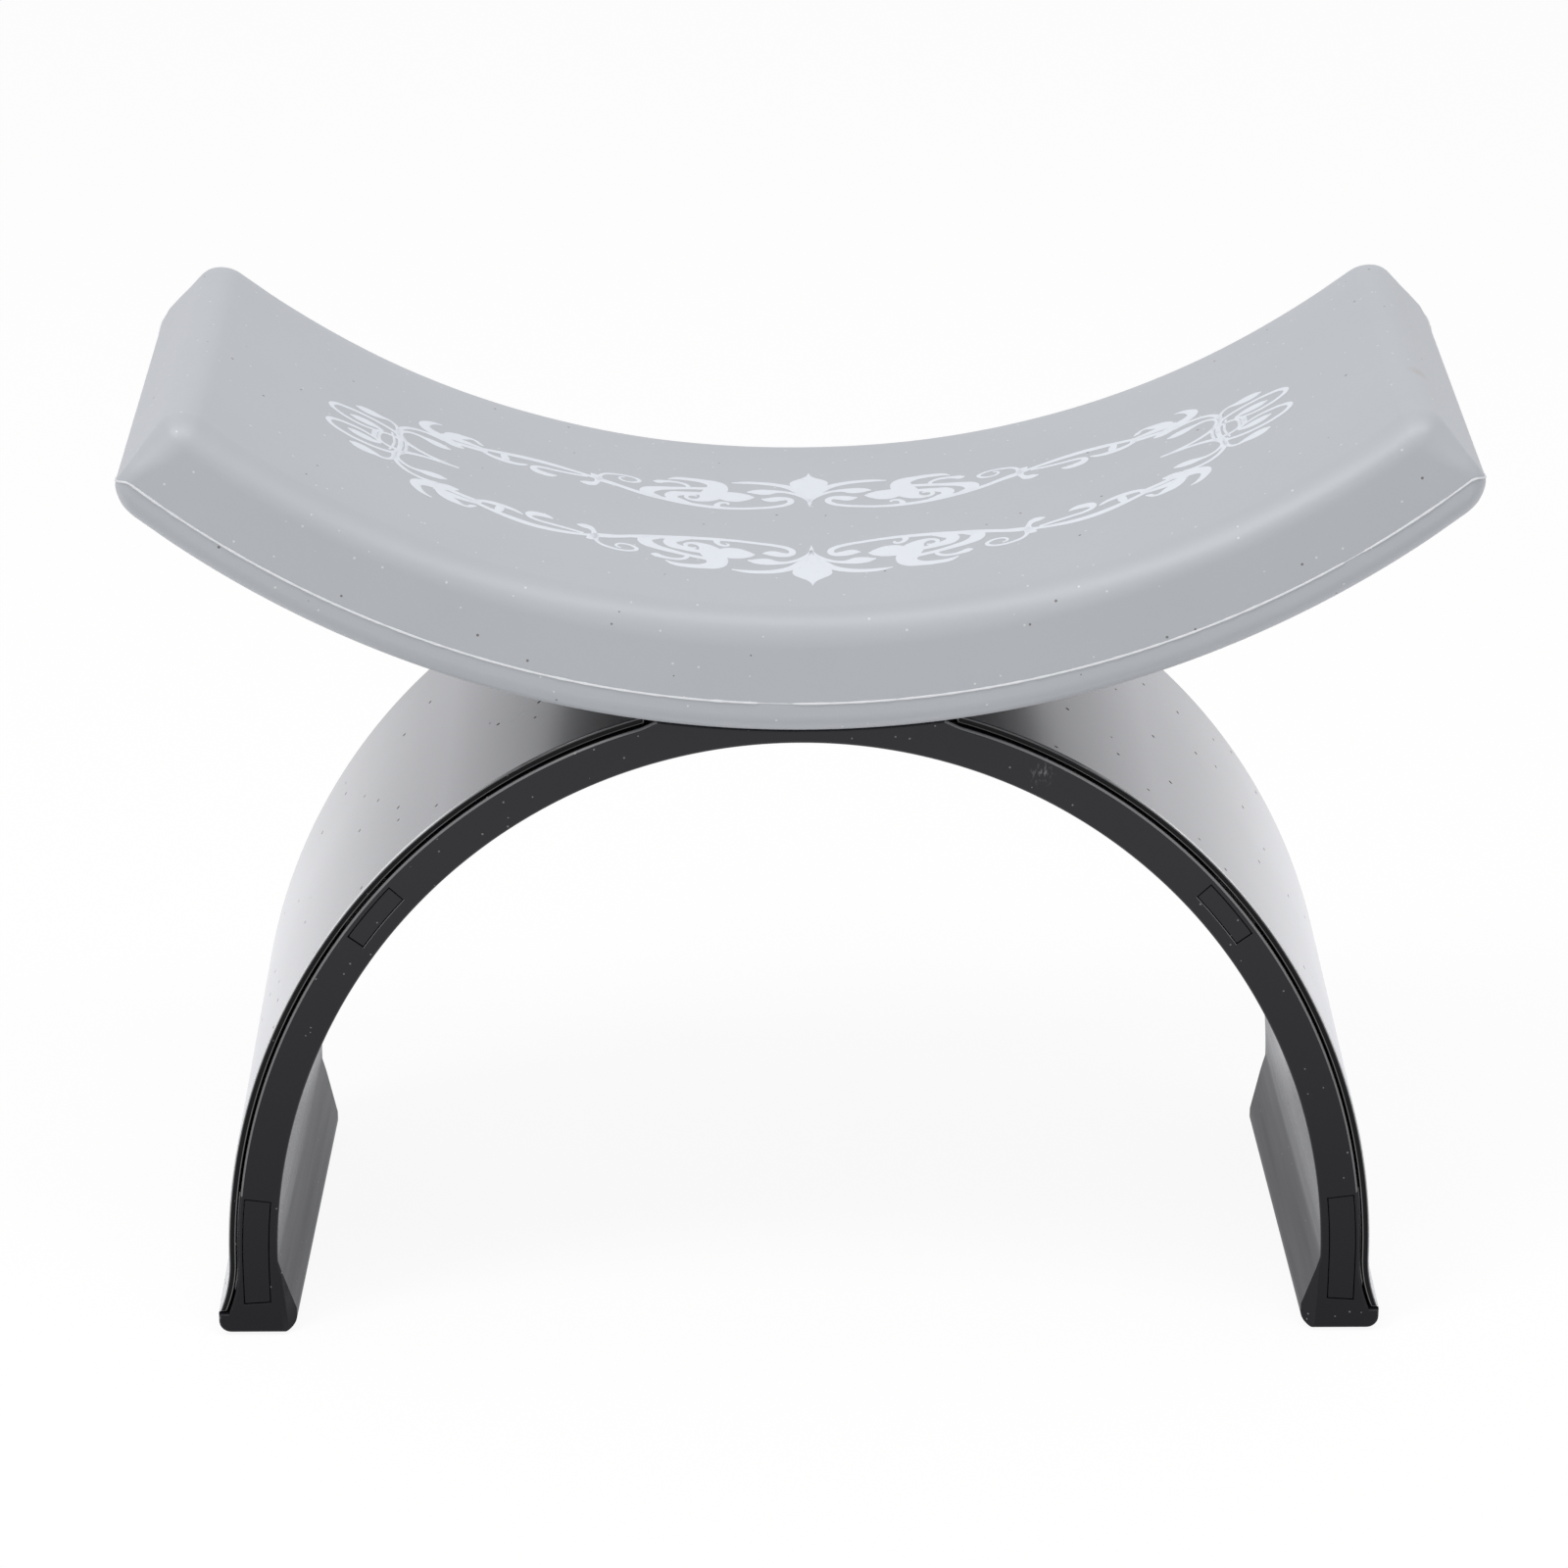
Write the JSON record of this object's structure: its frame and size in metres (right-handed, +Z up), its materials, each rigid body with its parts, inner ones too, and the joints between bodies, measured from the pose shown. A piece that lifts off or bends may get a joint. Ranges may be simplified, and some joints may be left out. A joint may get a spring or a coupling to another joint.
{
  "type": "manicure hand rest",
  "caption": "Curved grey cushion for the forearm and hand that lifts off a black arch-shaped stand with splayed feet and non-slip pads.",
  "frame": {"origin": "on the table, under the middle of the stand", "axes": "+X along the arm trough and across the arch, +Y from the front face to the back face, +Z up"},
  "size_m": [0.2488, 0.0958, 0.1877],
  "materials": {
    "black_abs": "satin black moulded plastic",
    "gloss_black_abs": "glossy black moulded plastic",
    "pad_rubber": "matte black rubber",
    "grey_silicone": "matte light grey silicone with a white ornament printed on its top",
    "cream_foam": "cream open-cell foam",
    "grey_abs": "matte grey moulded plastic"
  },
  "bodies": {
    "stand": {"arch_frame": "black_abs", "outer_cover_left": "gloss_black_abs", "outer_cover_right": "gloss_black_abs", "foot_pad_left_front": "pad_rubber", "foot_pad_left_back": "pad_rubber", "foot_pad_right_front": "pad_rubber", "foot_pad_right_back": "pad_rubber"},
    "cushion": {"cushion_sleeve": "grey_silicone", "foam_core": "cream_foam", "base_plate": "grey_abs"}
  },
  "joints": [
    {"name": "cushion_lift", "type": "slide", "parent": "stand", "child": "cushion", "axis": [0, 0, 1], "range_m": [0, 0.03]}
  ]
}
